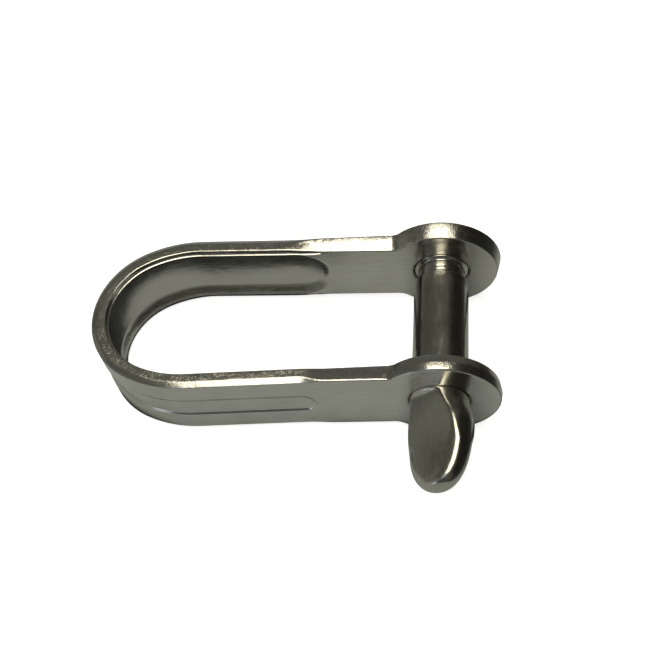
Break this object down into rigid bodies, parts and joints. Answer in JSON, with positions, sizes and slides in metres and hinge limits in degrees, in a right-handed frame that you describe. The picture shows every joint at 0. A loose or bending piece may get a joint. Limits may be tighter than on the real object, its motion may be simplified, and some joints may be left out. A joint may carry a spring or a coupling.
{
  "type": "dee shackle",
  "caption": "Long dee shackle pressed from stainless strip, with a one-piece screw pin that has a flattened paddle head and withdraws sideways from the ears.",
  "frame": {"origin": "on the pin's axis, halfway between the two ears", "axes": "+Y along the pin from its paddle head to its thread; -X along the legs to the crown; +Z across the width of the strip"},
  "size_m": [0.0374, 0.0246, 0.011],
  "materials": {
    "bow_steel": "polished pressed stainless strip with fine brushing and a rougher sheared edge",
    "pin_steel": "polished stainless bar, drawn and forged, a little darker than the bow"
  },
  "bodies": {
    "bow": {"bow": "bow_steel"},
    "pin": {"pin": "pin_steel"}
  },
  "joints": [
    {"name": "pin_withdraw", "type": "slide", "parent": "bow", "child": "pin", "axis": [0, -1, 0], "range_m": [0, 0.03]}
  ]
}
